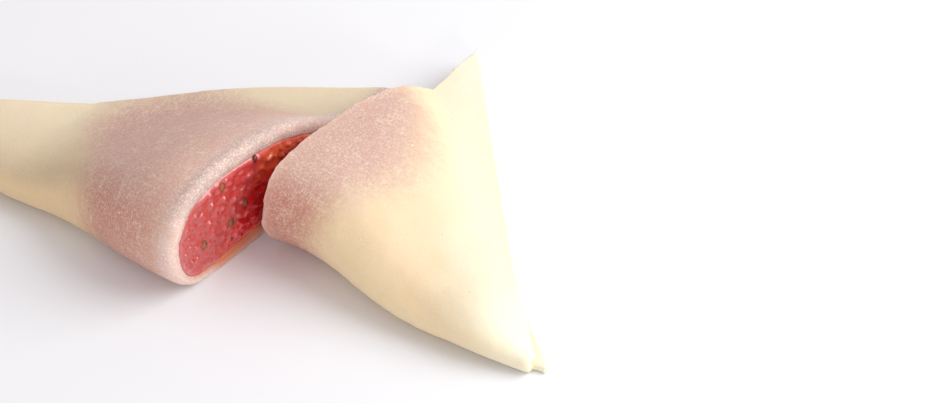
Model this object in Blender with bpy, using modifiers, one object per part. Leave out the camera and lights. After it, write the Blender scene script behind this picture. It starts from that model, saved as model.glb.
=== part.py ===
"""Nama yatsuhashi cut in two: a square of soft rice dough folded on its diagonal round a jam filling.

The fold runs along X at the front, the point of the triangle looks to +Y and the sweet lies on z = 0.
A knife has gone through it from the fold to the point, and the +X half has slid back along the cut.
Each half is one sheet of dough, bent like a hairpin over its own share of the filling. A half is
shaped in its own millimetres, x from the cut to the corner and y from the fold to the point, as a
loft of sections of that hairpin, and is then turned, mirrored and set down where it lies.
"""

import math
from dataclasses import dataclass

import bpy
import numpy as np
from mathutils import Matrix

MM = 0.001

# Sizes of the sheet that both halves share, in millimetres
DOUGH_THICKNESS = 2.5
LEAF_GAP = 0.3
FILLING_GAP = 0.3
SEAM = 2.2
NARROWEST_LEAF = 1.5
CORNER_PRESS = 13.0
CORNER_OPENING = 0.6
CORNER_THINNING = 0.44
THINNING_POWER = 1.5
TONGUE_POWER = 4
LEAN_REACH = 12.0
LEAN_DEPTH = 18.0
BOW_AT = 20.0
BOW_WIDTH = 11.0
WAVE_AT = 16.0
WAVE_WIDTH = 9.0
CURL_POWER = 1.15
CURL_AT_FOLD = 0.31

# Shape of the empty fold beyond the filling, as shares of the sheet's width and of the fold's height
EMPTY_CONTACT = 0.24
EMPTY_FRONT = (1.2, 0.10)
EMPTY_NOSE_SHARE = 0.50
EMPTY_TOP = (1.4, 0.12)
EMPTY_TOP_SHARE = 0.92
EMPTY_REACH = (0.22, 0.38, 0.55, 0.72)
EMPTY_CROWN = (0.88, 0.60, 0.33, 0.12)
PRESSED_SHARE = 0.88
MOST_PEEK = 0.3

# Shape of the filled fold, and how the filling presses the lower leaf thin just behind the fold
FILLED_CONTACT = 6.0
FRONT_RISE = 0.065
FLOOR_PRESS = 0.24
FLOOR_PRESS_AT = 4.0
FLOOR_PRESS_WIDTH = 7.0
FILLED_REACH = (0.32, 0.59, 0.81, 0.98)

# Shape of the filling: how much of the filled part it takes up, and how it closes at its far end
FILLING_REACH = (0.62, 0.92)
TAPER_POWER = 4

# How finely the surfaces are divided
CHORD_POWER = 0.75
STATIONS = 25
LEAF_POINTS = 8
ARCH_POINTS = 25
FILLING_STATIONS = 13
FILLING_POINTS = 22
FILLING_END = 0.985
FINE = 6
TONGUE_FADE = 4.0

# Shares of a half's length at which FoldedHalf.front gives the fold
FRONT_SHARES = (0.0, 0.12, 0.25, 0.42, 0.62, 0.82, 1.0)

DOUGH_COLOUR = (0.83, 0.70, 0.47, 1.0)
FILLING_COLOUR = (0.50, 0.055, 0.055, 1.0)


@dataclass(frozen=True)
class FoldedHalf:
    """Sizes of one half, in millimetres, as seen from its cut looking to its corner."""

    name: str
    side: int                  # +1 when the corner points to +X, -1 when it points to -X
    cut_at: tuple              # x and y of the cut end of the fold
    turn: float                # degrees about the vertical
    length: float              # from the cut to where the straight edge would meet the fold
    corner_at: float           # how far along that length the sheet ends
    depth: float               # from the fold to the point, along the cut
    front: tuple               # y of the inside of the fold at FRONT_SHARES
    filled_height: float       # inside height at the cut
    nose_share: float          # how high up the fold stands out furthest
    nose_depth: float          # how far behind the fold the top is reached
    crown: tuple               # shares of the inside height from the fold to the end of the filling
    lifted_front: float        # how far the rounded front stands off the table, front to back
    empty_height: float        # inside height of the fold beyond the filling
    swell_length: float        # how far the filling lifts the dough
    swell_power: float         # how abruptly that lift dies away
    filled_share: float        # share of the depth taken up by the filling at the cut
    filled_spread: float       # how much larger that share grows as the filling runs out
    filling_length: float      # from the cut to the filling's far end
    bow: float                 # how far the straight edge bows out
    wave: float                # how far the straight edge lifts near the filling
    curl: float                # lift of the corner
    curl_from: float           # where that lift starts
    peek: float                # how far the lower leaf shows past the upper one
    tongue: float              # how far its tip stands out at the corner
    tongue_width: float        # how much wider that tip is than the upper leaf
    lean: float                # how far the lower leaf stands out past the upper one at the cut


LEFT = FoldedHalf(
    name="left", side=-1, cut_at=(0.0, 0.0), turn=0.0, length=54.6, corner_at=53.0, depth=48.0,
    front=(-2.1, -2.2, -1.4, 0.1, -0.2, -0.1, 0.5),
    filled_height=14.0, nose_share=0.57, nose_depth=3.6, crown=(0.95, 1.00, 0.80, 0.41, 0.10),
    lifted_front=2.6, empty_height=2.2, swell_length=33.6, swell_power=2.04, filled_share=0.80,
    filled_spread=0.15, filling_length=25.0, bow=0.8, wave=0.9, curl=6.6, curl_from=34.0, peek=0.5,
    tongue=0.0, tongue_width=0.0, lean=1.1)

RIGHT = FoldedHalf(
    name="right", side=1, cut_at=(4.15, 14.4), turn=-1.6, length=46.4, corner_at=45.4, depth=48.2,
    front=(-1.3, -0.2, 0.1, -0.45, 0.1, 1.4, 2.9),
    filled_height=11.9, nose_share=0.61, nose_depth=2.9, crown=(0.98, 0.97, 0.83, 0.55, 0.10),
    lifted_front=3.5, empty_height=2.5, swell_length=30.4, swell_power=1.94, filled_share=0.745,
    filled_spread=0.0, filling_length=20.0, bow=0.0, wave=0.0, curl=0.0, curl_from=34.0, peek=0.8,
    tongue=2.2, tongue_width=1.1, lean=0.0)


def smooth_step(share):
    """Ease from 0 to 1 with level ends."""
    share = np.clip(share, 0.0, 1.0)
    return share * share * (3.0 - 2.0 * share)


def bell(place, centre, width):
    """A bell of height 1 at centre."""
    return np.exp(-((place - centre) / width) ** 2)


def spline_at(knots, values, places, start_slope=None):
    """Points of the cubic spline through values; its ends are free unless a start slope is given."""
    count = len(knots)
    spans = np.diff(knots)
    slopes = np.diff(values, axis=0) / spans[:, None]
    matrix = np.eye(count)
    rates = np.zeros_like(values)
    if start_slope is not None:
        matrix[0, :2] = 2.0 * spans[0], spans[0]
        rates[0] = 6.0 * (slopes[0] - start_slope)
    for i in range(1, count - 1):
        matrix[i, i - 1:i + 2] = spans[i - 1], 2.0 * (spans[i - 1] + spans[i]), spans[i]
        rates[i] = 6.0 * (slopes[i] - slopes[i - 1])
    bends = np.linalg.solve(matrix, rates)
    span = np.clip(np.searchsorted(knots, places, side="right") - 1, 0, count - 2)
    width = spans[span][:, None]
    ahead = (knots[span + 1] - places)[:, None]
    behind = (places - knots[span])[:, None]
    curve = (bends[span] * ahead ** 3 + bends[span + 1] * behind ** 3) / (6.0 * width)
    curve += (values[span] / width - bends[span] * width / 6.0) * ahead
    curve += (values[span + 1] / width - bends[span + 1] * width / 6.0) * behind
    return curve


def smooth_curve(points, count, start_direction):
    """Evenly spread points of a smooth curve that leaves the first point in start_direction."""
    chords = np.linalg.norm(np.diff(points, axis=0), axis=1)
    knots = np.concatenate([[0.0], np.cumsum(chords ** CHORD_POWER)])
    speed = chords[0] / knots[1]
    places = np.linspace(0.0, knots[-1], count)
    return spline_at(knots, points, places, np.array(start_direction) * speed)


def swell(half, x):
    """How much of the filling's lift is left at x: 1 at the cut, 0 where the fold is empty."""
    share = min(x / half.swell_length, 1.0)
    return (1.0 - share * share) ** half.swell_power


def unpressed(half, x):
    """How open the fold is at x: 1 along most of it, 0 at the corner."""
    return smooth_step((half.length - x) / CORNER_PRESS)


def thickness_share(half, x):
    """How thick the sheet is at x: 1 along most of it, less where the corner is pressed."""
    return 1.0 - CORNER_THINNING * (1.0 - unpressed(half, x)) ** THINNING_POWER


def floor_share(half, x, behind):
    """Share of the lower leaf's thickness that the filling leaves at a distance behind the fold."""
    return 1.0 - FLOOR_PRESS * swell(half, x) * bell(behind, FLOOR_PRESS_AT, FLOOR_PRESS_WIDTH)


def fold_line(half, x):
    """y of the inside of the fold at x."""
    front = np.array(half.front)[:, None]
    return spline_at(np.array(FRONT_SHARES), front, np.array([x / half.length]))[0, 0]


def straight_edge(half, x):
    """y of the lower leaf's edge, which runs from the point to the corner."""
    edge = half.depth * (1.0 - x / half.length) + SEAM + half.bow * bell(x, BOW_AT, BOW_WIDTH)
    return edge + half.tongue_width * (1.0 - unpressed(half, x))


def fold_section(half, x, leaf_points, arch_points):
    """Inside of the bent sheet at x: along the lower leaf, round the fold and back over the top."""
    lift = swell(half, x)

    def between(empty_value, filled_value):
        return empty_value * (1.0 - lift) + filled_value * lift

    floor = DOUGH_THICKNESS * thickness_share(half, x)
    empty = CORNER_OPENING + (half.empty_height - CORNER_OPENING) * unpressed(half, x)
    height = between(empty, half.filled_height)
    back = straight_edge(half, x)
    lower = max(back - fold_line(half, x), NARROWEST_LEAF)
    front = back - lower
    upper = lower - min(half.peek, MOST_PEEK * lower)
    filled = (half.filled_share + half.filled_spread * (1.0 - lift)) * lower
    contact = between(EMPTY_CONTACT * lower, FILLED_CONTACT + 0.5 * half.lifted_front)
    underside = between(min(EMPTY_FRONT[0], EMPTY_FRONT[1] * lower), half.lifted_front)
    top = between(min(EMPTY_TOP[0], EMPTY_TOP[1] * upper), half.nose_depth)
    rest = floor + LEAF_GAP
    rise = height - LEAF_GAP
    arch = [
        (contact, floor * floor_share(half, x, contact)),
        (underside, floor * floor_share(half, x, underside) + FRONT_RISE * height),
        (0.0, floor + between(EMPTY_NOSE_SHARE, half.nose_share) * height),
        (top, rest + between(EMPTY_TOP_SHARE, half.crown[0]) * rise),
    ]
    for i in range(len(EMPTY_REACH)):
        reach = between(EMPTY_REACH[i] * upper, FILLED_REACH[i] * filled)
        arch.append((reach, rest + between(EMPTY_CROWN[i], half.crown[i + 1]) * rise))
    arch += [(PRESSED_SHARE * upper, rest), (upper, rest)]
    arch = smooth_curve(np.array(arch) + (front, 0.0), arch_points, (-1.0, 0.0))
    arch[:, 1] = np.maximum(arch[:, 1], floor * floor_share(half, x, arch[:, 0] - front))
    flat = np.linspace(back, front + contact, leaf_points)
    leaf = np.column_stack([flat, floor * floor_share(half, x, flat - front)])
    return np.vstack([leaf[:-1], arch])


def section_thickness(half, x, section):
    """Share of the sheet's thickness at each point of its inside at x."""
    floor = DOUGH_THICKNESS * thickness_share(half, x)
    nose = floor + half.nose_share * half.filled_height
    lowness = smooth_step((nose - section[:, 1]) / (nose - floor))
    pressed = 1.0 - floor_share(half, x, section[:, 0] - section[:, 0].min())
    return thickness_share(half, x) * (1.0 - lowness * pressed)


def place_points(half, points):
    """Lean the cut, curl the corner and set the half down where it lies, in metres."""
    x, y, z = points.T
    near_cut = (1.0 - np.clip(x / LEAN_REACH, 0.0, 1.0)) ** 2
    lowness = 1.0 - z / (half.filled_height + 2.0 * DOUGH_THICKNESS)
    across = half.side * (x - half.lean * near_cut * lowness * smooth_step(y / LEAN_DEPTH))
    backness = np.clip(y / np.maximum(straight_edge(half, x), 1.0), 0.0, 1.0)
    curl_share = np.clip((x - half.curl_from) / (half.length - half.curl_from), 0.0, 1.0)
    curl = half.curl * curl_share ** CURL_POWER * (CURL_AT_FOLD + (1.0 - CURL_AT_FOLD) * backness)
    wave = half.wave * bell(x, WAVE_AT, WAVE_WIDTH) * smooth_step(2.0 * backness - 1.0)
    turn = math.radians(half.turn)
    placed = np.column_stack([
        half.cut_at[0] + across * math.cos(turn) - y * math.sin(turn),
        half.cut_at[1] + across * math.sin(turn) + y * math.cos(turn),
        z + curl + wave,
    ])
    return placed * MM


def loft_faces(rings, points, closed, flipped):
    """Quads between neighbouring rings of points, and end caps when the rings are closed."""
    faces = []
    for ring in range(rings - 1):
        here, there = ring * points, (ring + 1) * points
        for i in range(points if closed else points - 1):
            j = (i + 1) % points
            faces.append((here + i, here + j, there + j, there + i))
    if closed:
        faces.append(tuple(reversed(range(points))))
        faces.append(tuple(range((rings - 1) * points, rings * points)))
    return [tuple(reversed(face)) for face in faces] if flipped else faces


def new_object(name, rings, closed, half, material, collection):
    """A smooth mesh object lofted through rings of points."""
    points = len(rings[0])
    faces = loft_faces(len(rings), points, closed, flipped=half.side > 0)
    mesh = bpy.data.meshes.new(name)
    mesh.from_pydata([tuple(vertex) for vertex in np.vstack(rings)], [], faces)
    mesh.materials.append(material)
    mesh.shade_smooth()
    thing = bpy.data.objects.new(name, mesh)
    collection.objects.link(thing)
    return thing


def build_dough(half, material, collection):
    """The bent sheet: an open surface, its inside, thickened outwards."""
    places = np.arange(LEAF_POINTS + ARCH_POINTS - 1)
    in_lower_leaf = smooth_step((LEAF_POINTS - 1.0 - places) / TONGUE_FADE)
    rings, shares = [], []
    for x in np.linspace(0.0, half.corner_at, STATIONS):
        section = fold_section(half, x, LEAF_POINTS, ARCH_POINTS)
        tongue = half.tongue * (1.0 - unpressed(half, x)) ** TONGUE_POWER * in_lower_leaf
        rings.append(place_points(half, np.column_stack([x + tongue, section])))
        shares.append(section_thickness(half, x, section))
    dough = new_object(f"{half.name}_dough", rings, False, half, material, collection)
    thickness = dough.vertex_groups.new(name="Thickness")
    for vertex, share in enumerate(np.concatenate(shares)):
        thickness.add([vertex], float(share), "REPLACE")
    thicken = dough.modifiers.new("Sheet thickness", "SOLIDIFY")
    thicken.thickness = DOUGH_THICKNESS * MM
    thicken.offset = 1.0
    thicken.use_quality_normals = True
    thicken.vertex_group = thickness.name
    return dough


def filling_section(half, x):
    """Outline of the filling at x: the dough's inside up to the filling's back, set in by a gap."""
    section = fold_section(half, x, LEAF_POINTS * FINE, ARCH_POINTS * FINE)
    front = section[:, 0].min()
    lift = swell(half, x)
    reach = half.filled_share * (FILLING_REACH[0] * (1.0 - lift) + FILLING_REACH[1] * lift)
    kept = section[section[:, 0] <= front + reach * (straight_edge(half, x) - front)]
    along = np.concatenate([[0.0], np.cumsum(np.linalg.norm(np.diff(kept, axis=0), axis=1))])
    places = np.linspace(0.0, along[-1], FILLING_POINTS)
    outline = np.column_stack([np.interp(places, along, kept[:, i]) for i in (0, 1)])
    heading = np.gradient(outline, axis=0)
    heading /= np.linalg.norm(heading, axis=1)[:, None]
    outline += FILLING_GAP * np.column_stack([heading[:, 1], -heading[:, 0]])
    middle = outline.mean(axis=0)
    taper = math.sqrt(1.0 - (x / half.filling_length) ** TAPER_POWER)
    return middle + taper * (outline - middle)


def build_filling(half, material, collection):
    """The jam under the fold, cut flush with the dough and rounded off at its far end."""
    rings = []
    for x in np.linspace(0.0, half.filling_length * FILLING_END, FILLING_STATIONS):
        section = filling_section(half, x)
        rings.append(place_points(half, np.column_stack([np.full(FILLING_POINTS, x), section])))
    return new_object(f"{half.name}_filling", rings, True, half, material, collection)


def make_material(name, colour, roughness):
    """A plain finish for one kind of food."""
    material = bpy.data.materials.new(name)
    material.use_nodes = True
    shader = material.node_tree.nodes["Principled BSDF"]
    shader.inputs["Base Color"].default_value = colour
    shader.inputs["Roughness"].default_value = roughness
    shader.inputs["Metallic"].default_value = 0.0
    material.diffuse_color = colour
    return material


def centre_on_table(things):
    """Move everything so that the whole lies on z = 0 with its box's middle over the origin."""
    depsgraph = bpy.context.evaluated_depsgraph_get()
    corners = []
    for thing in things:
        corners += [vertex.co for vertex in thing.evaluated_get(depsgraph).data.vertices]
    low, high = np.min(corners, axis=0), np.max(corners, axis=0)
    middle = (low + high) / 2.0
    for thing in things:
        thing.data.transform(Matrix.Translation((-middle[0], -middle[1], -low[2])))


def main():
    """Build both halves of the sweet."""
    for thing in list(bpy.data.objects):
        bpy.data.objects.remove(thing, do_unlink=True)
    collection = bpy.data.collections.new("nama_yatsuhashi")
    bpy.context.scene.collection.children.link(collection)
    dough = make_material("rice_dough", DOUGH_COLOUR, 0.55)
    filling = make_material("jam_filling", FILLING_COLOUR, 0.2)
    things = []
    for half in (LEFT, RIGHT):
        things.append(build_dough(half, dough, collection))
        things.append(build_filling(half, filling, collection))
    centre_on_table(things)


main()
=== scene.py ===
"""Looks of a nama yatsuhashi cut in two: soft rice dough folded round strawberry jam.

The fold runs along X at the front and the point of the triangle looks to +Y. Each half is a sheet of
dough bent like a hairpin over its share of the jam. The sheets and the jam are lofted in millimetres
with the sizes that the solids have, finely enough for soft edges, relief and a lumpy wet cut, and the
small things in them (pale rice grains, brown specks, strawberry seeds) are laid out by Geometry Nodes.
"""

import logging
import math
from dataclasses import dataclass
from enum import Enum

import bpy
import numpy as np
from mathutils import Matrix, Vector, noise


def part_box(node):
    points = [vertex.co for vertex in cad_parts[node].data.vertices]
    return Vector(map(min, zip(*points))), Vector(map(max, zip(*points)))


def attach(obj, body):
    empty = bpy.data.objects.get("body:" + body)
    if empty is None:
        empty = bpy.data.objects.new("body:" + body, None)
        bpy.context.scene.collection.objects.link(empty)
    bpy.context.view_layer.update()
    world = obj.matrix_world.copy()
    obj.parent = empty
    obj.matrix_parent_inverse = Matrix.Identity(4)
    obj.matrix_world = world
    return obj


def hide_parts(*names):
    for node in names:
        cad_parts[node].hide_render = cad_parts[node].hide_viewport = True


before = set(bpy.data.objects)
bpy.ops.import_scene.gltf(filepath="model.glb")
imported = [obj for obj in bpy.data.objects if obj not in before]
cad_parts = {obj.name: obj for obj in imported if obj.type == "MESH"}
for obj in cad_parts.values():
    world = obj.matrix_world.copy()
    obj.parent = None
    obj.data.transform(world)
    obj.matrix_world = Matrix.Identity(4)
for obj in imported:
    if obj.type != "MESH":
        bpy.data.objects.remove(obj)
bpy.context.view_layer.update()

log = logging.getLogger("yatsuhashi")

Array = np.ndarray
Colour = tuple[float, float, float, float]
Faces = list[tuple[int, ...]]
Material = bpy.types.Material
Mesh = bpy.types.Mesh
Socket = bpy.types.NodeSocket

MM = 0.001
BODY = "root"

# Where along a half its fold line's places are given, as shares of the way from cut to corner.
FRONT_SHARES = (0.0, 0.12, 0.25, 0.42, 0.62, 0.82, 1.0)

# How coarsely the solids are made, so that the finer shapes can be set down in the same place.
LEAF_POINTS = 8
ARCH_POINTS = 25
FILLING_STATIONS = 13
FILLING_POINTS = 22
FILLING_END = 0.985
FILLING_GAP = 0.3
FILLING_FINENESS = 6


# --------------------------------------------------------------------------------------------------
# Small mathematics that the shapes share
# --------------------------------------------------------------------------------------------------

def smooth_step(share: Array | float) -> Array:
    """Ease from 0 to 1 with level ends; a share outside them is held at the ends."""
    share = np.clip(share, 0.0, 1.0)
    return share * share * (3.0 - 2.0 * share)


def bell(place: Array, centre: float, width: float) -> Array:
    """A bell of height 1 at the centre, which has sunk to a third at the width."""
    return np.exp(-((place - centre) / width) ** 2)


def spline_at(knots: Array, values: Array, places: Array,
              start_slope: Array | None = None) -> Array:
    """Points of the cubic spline through values.

    Args:
        knots: Rising places of the values.
        values: One row for each knot.
        places: Where the spline is read.
        start_slope: The slope at the first knot, or None for a free end.

    Returns:
        One row for each place.
    """
    count = len(knots)
    spans = np.diff(knots)
    slopes = np.diff(values, axis=0) / spans[:, None]
    matrix = np.eye(count)
    rates = np.zeros_like(values)
    if start_slope is not None:
        matrix[0, :2] = 2.0 * spans[0], spans[0]
        rates[0] = 6.0 * (slopes[0] - start_slope)
    for i in range(1, count - 1):
        matrix[i, i - 1:i + 2] = spans[i - 1], 2.0 * (spans[i - 1] + spans[i]), spans[i]
        rates[i] = 6.0 * (slopes[i] - slopes[i - 1])
    bends = np.linalg.solve(matrix, rates)
    span = np.clip(np.searchsorted(knots, places, side="right") - 1, 0, count - 2)
    width = spans[span][:, None]
    ahead = (knots[span + 1] - places)[:, None]
    behind = (places - knots[span])[:, None]
    curve = (bends[span] * ahead ** 3 + bends[span + 1] * behind ** 3) / (6.0 * width)
    curve += (values[span] / width - bends[span] * width / 6.0) * ahead
    curve += (values[span + 1] / width - bends[span + 1] * width / 6.0) * behind
    return curve


def smooth_curve(points: Array, count: int, start_direction: tuple[float, float]) -> Array:
    """Evenly spread points of a smooth curve.

    Args:
        points: The points that the curve goes through.
        count: How many points it gets.
        start_direction: The direction in which it leaves the first point.

    Returns:
        The curve's points.
    """
    chords = np.linalg.norm(np.diff(points, axis=0), axis=1)
    knots = np.concatenate([[0.0], np.cumsum(chords ** 0.75)])
    speed = chords[0] / knots[1]
    places = np.linspace(0.0, knots[-1], count)
    return spline_at(knots, points, places, np.array(start_direction) * speed)


def along_line(line: Array) -> Array:
    """Distance from a line's first point to each of its points, along the line."""
    return np.concatenate([[0.0], np.cumsum(np.linalg.norm(np.diff(line, axis=0), axis=1))])


def respace(line: Array, places: Array) -> Array:
    """Points of a line at given distances from its start."""
    along = along_line(line)
    return np.column_stack([np.interp(places, along, line[:, i]) for i in range(line.shape[1])])


def soft_noise(points: Array, grain: float | tuple[float, ...], seed: int) -> Array:
    """Noise of about -0.7 to 0.7 with lumps of the grain's size, the same on every run."""
    shifted = points / np.array(grain) + 19.37 * (seed + 1)
    return np.array([noise.noise(Vector(point)) for point in shifted])


# --------------------------------------------------------------------------------------------------
# The folded sheet
# --------------------------------------------------------------------------------------------------

class Side(Enum):
    """Which way the corner of a half points along the fold."""

    LEFT = -1
    RIGHT = 1


@dataclass(frozen=True)
class Sheet:
    """Sizes of the sheet that both halves share, in millimetres."""

    thickness: float = 2.5
    leaf_gap: float = 0.3
    seam: float = 2.2
    narrowest_leaf: float = 1.5
    corner_press: float = 13.0
    corner_opening: float = 0.6
    corner_thinning: float = 0.44
    thinning_power: float = 1.5
    tongue_power: float = 4.0
    tongue_fade: float = 4.0
    lean_reach: float = 12.0
    lean_depth: float = 18.0
    bow_at: float = 20.0
    bow_width: float = 11.0
    wave_at: float = 16.0
    wave_width: float = 9.0
    curl_power: float = 1.15
    curl_at_fold: float = 0.31
    empty_contact: float = 0.24
    empty_front: tuple[float, float] = (1.2, 0.10)
    empty_nose_share: float = 0.50
    empty_top: tuple[float, float] = (1.4, 0.12)
    empty_top_share: float = 0.92
    empty_reach: tuple[float, ...] = (0.22, 0.38, 0.55, 0.72)
    empty_crown: tuple[float, ...] = (0.88, 0.60, 0.33, 0.12)
    pressed_share: float = 0.88
    most_peek: float = 0.3
    filled_contact: float = 6.0
    front_rise: float = 0.065
    floor_press: float = 0.24
    floor_press_at: float = 4.0
    floor_press_width: float = 7.0
    filled_reach: tuple[float, ...] = (0.32, 0.59, 0.81, 0.98)
    filling_reach: tuple[float, float] = (0.62, 0.92)
    taper_power: float = 4.0


SHEET = Sheet()


@dataclass(frozen=True)
class HalfShape:
    """Shape of one half, in its own millimetres: x from the cut to the corner, y from fold to point."""

    name: str
    side: Side
    cut_at: tuple[float, float]
    turn: float
    length: float
    corner_at: float
    depth: float
    front: tuple[float, ...]
    filled_height: float
    nose_share: float
    nose_depth: float
    crown: tuple[float, ...]
    lifted_front: float
    empty_height: float
    swell_length: float
    swell_power: float
    filled_share: float
    filled_spread: float
    filling_length: float
    bow: float = 0.0
    wave: float = 0.0
    curl: float = 0.0
    curl_from: float = 34.0
    peek: float = 0.0
    tongue: float = 0.0
    tongue_width: float = 0.0
    lean: float = 0.0

    def swell(self, x: float) -> float:
        """How much of the filling's lift is left at x: 1 at the cut, 0 where the fold is empty."""
        share = min(x / self.swell_length, 1.0)
        return (1.0 - share * share) ** self.swell_power

    def unpressed(self, x: float) -> float:
        """How open the fold is at x: 1 along most of it, 0 at the corner."""
        return float(smooth_step((self.length - x) / SHEET.corner_press))

    def thickness(self, x: float) -> float:
        """How thick the sheet is at x; it thins where the corner is pressed."""
        pressed = (1.0 - self.unpressed(x)) ** SHEET.thinning_power
        return SHEET.thickness * (1.0 - SHEET.corner_thinning * pressed)

    def floor_share(self, x: float, behind: float | Array) -> float | Array:
        """Share of the lower leaf's thickness that the jam leaves at a distance behind the fold."""
        pressed = bell(behind, SHEET.floor_press_at, SHEET.floor_press_width)
        return 1.0 - SHEET.floor_press * self.swell(x) * pressed

    def section_thickness(self, x: float, section: Array) -> Array:
        """Thickness of the sheet at the points of its inside.

        Args:
            x: Distance from the cut.
            section: The y and z of the points.

        Returns:
            One thickness for each point, in millimetres.
        """
        floor = self.thickness(x)
        nose = floor + self.nose_share * self.filled_height
        lowness = smooth_step((nose - section[:, 1]) / (nose - floor))
        pressed = 1.0 - self.floor_share(x, section[:, 0] - section[:, 0].min())
        return floor * (1.0 - lowness * pressed)

    def fold_line(self, x: float) -> float:
        """y of the inside of the fold at x."""
        front = np.array(self.front)[:, None]
        return float(spline_at(np.array(FRONT_SHARES), front, np.array([x / self.length]))[0, 0])

    def straight_edge(self, x: float | Array) -> float | Array:
        """Where the lower leaf ends behind; its edge runs from the point to the corner.

        Args:
            x: Distance from the cut.

        Returns:
            y of the edge.
        """
        edge = self.depth * (1.0 - x / self.length) + SHEET.seam
        edge = edge + self.bow * bell(x, SHEET.bow_at, SHEET.bow_width)
        pressed = 1.0 - smooth_step((self.length - x) / SHEET.corner_press)
        return edge + self.tongue_width * pressed

    def section(self, x: float, leaf_points: int, arch_points: int) -> tuple[Array, float]:
        """Inside of the bent sheet at x: along the lower leaf, round the fold and back over the top.

        Args:
            x: Distance from the cut.
            leaf_points: Points of the flat part of the lower leaf.
            arch_points: Points of the rest.

        Returns:
            The y and z of each point, and the length of the flat part.
        """
        lift = self.swell(x)

        def between(empty_value: float, filled_value: float) -> float:
            """A size at x, from its sizes where the fold is empty and where it is filled."""
            return empty_value * (1.0 - lift) + filled_value * lift

        floor = self.thickness(x)
        opening = SHEET.corner_opening
        empty = opening + (self.empty_height - opening) * self.unpressed(x)
        height = between(empty, self.filled_height)
        back = float(self.straight_edge(x))
        lower = max(back - self.fold_line(x), SHEET.narrowest_leaf)
        front = back - lower
        upper = lower - min(self.peek, SHEET.most_peek * lower)
        filled = (self.filled_share + self.filled_spread * (1.0 - lift)) * lower
        contact = between(SHEET.empty_contact * lower, SHEET.filled_contact + 0.5 * self.lifted_front)
        underside = between(min(SHEET.empty_front[0], SHEET.empty_front[1] * lower), self.lifted_front)
        top = between(min(SHEET.empty_top[0], SHEET.empty_top[1] * upper), self.nose_depth)
        rest = floor + SHEET.leaf_gap
        rise = height - SHEET.leaf_gap
        arch = [
            (contact, floor * self.floor_share(x, contact)),
            (underside, floor * self.floor_share(x, underside) + SHEET.front_rise * height),
            (0.0, floor + between(SHEET.empty_nose_share, self.nose_share) * height),
            (top, rest + between(SHEET.empty_top_share, self.crown[0]) * rise),
        ]
        for i, empty_reach in enumerate(SHEET.empty_reach):
            reach = between(empty_reach * upper, SHEET.filled_reach[i] * filled)
            arch.append((reach, rest + between(SHEET.empty_crown[i], self.crown[i + 1]) * rise))
        arch += [(SHEET.pressed_share * upper, rest), (upper, rest)]
        arch = smooth_curve(np.array(arch) + (front, 0.0), arch_points, (-1.0, 0.0))
        arch[:, 1] = np.maximum(arch[:, 1], floor * self.floor_share(x, arch[:, 0] - front))
        flat = np.linspace(back, front + contact, leaf_points)
        leaf = np.column_stack([flat, floor * self.floor_share(x, flat - front)])
        return np.vstack([leaf[:-1], arch]), back - front - contact

    def place(self, points: Array) -> Array:
        """Lean the cut, curl the corner and set the half down where it lies.

        Args:
            points: x, y and z of each point in the half's own millimetres.

        Returns:
            The points in millimetres, before the whole is centred.
        """
        x, y, z = points.T
        near_cut = (1.0 - np.clip(x / SHEET.lean_reach, 0.0, 1.0)) ** 2
        lowness = 1.0 - z / (self.filled_height + 2.0 * SHEET.thickness)
        leaning = self.lean * near_cut * lowness * smooth_step(y / SHEET.lean_depth)
        across = self.side.value * (x - leaning)
        backness = np.clip(y / np.maximum(self.straight_edge(x), 1.0), 0.0, 1.0)
        curl_share = np.clip((x - self.curl_from) / (self.length - self.curl_from), 0.0, 1.0)
        at_fold = SHEET.curl_at_fold
        curl = self.curl * curl_share ** SHEET.curl_power * (at_fold + (1.0 - at_fold) * backness)
        wave = self.wave * bell(x, SHEET.wave_at, SHEET.wave_width) * smooth_step(2.0 * backness - 1.0)
        turn = math.radians(self.turn)
        return np.column_stack([
            self.cut_at[0] + across * math.cos(turn) - y * math.sin(turn),
            self.cut_at[1] + across * math.sin(turn) + y * math.cos(turn),
            z + curl + wave,
        ])


LEFT = HalfShape(
    name="left", side=Side.LEFT, cut_at=(0.0, 0.0), turn=0.0, length=54.6, corner_at=53.0, depth=48.0,
    front=(-2.1, -2.2, -1.4, 0.1, -0.2, -0.1, 0.5),
    filled_height=14.0, nose_share=0.57, nose_depth=3.6, crown=(0.95, 1.00, 0.80, 0.41, 0.10),
    lifted_front=2.6, empty_height=2.2, swell_length=33.6, swell_power=2.04, filled_share=0.80,
    filled_spread=0.15, filling_length=25.0, bow=0.8, wave=0.9, curl=6.6, peek=0.5, lean=1.1)

RIGHT = HalfShape(
    name="right", side=Side.RIGHT, cut_at=(4.15, 14.4), turn=-1.6, length=46.4, corner_at=45.4,
    depth=48.2, front=(-1.3, -0.2, 0.1, -0.45, 0.1, 1.4, 2.9),
    filled_height=11.9, nose_share=0.61, nose_depth=2.9, crown=(0.98, 0.97, 0.83, 0.55, 0.10),
    lifted_front=3.5, empty_height=2.5, swell_length=30.4, swell_power=1.94, filled_share=0.745,
    filled_spread=0.0, filling_length=20.0, peek=0.8, tongue=2.2, tongue_width=1.1)


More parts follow.
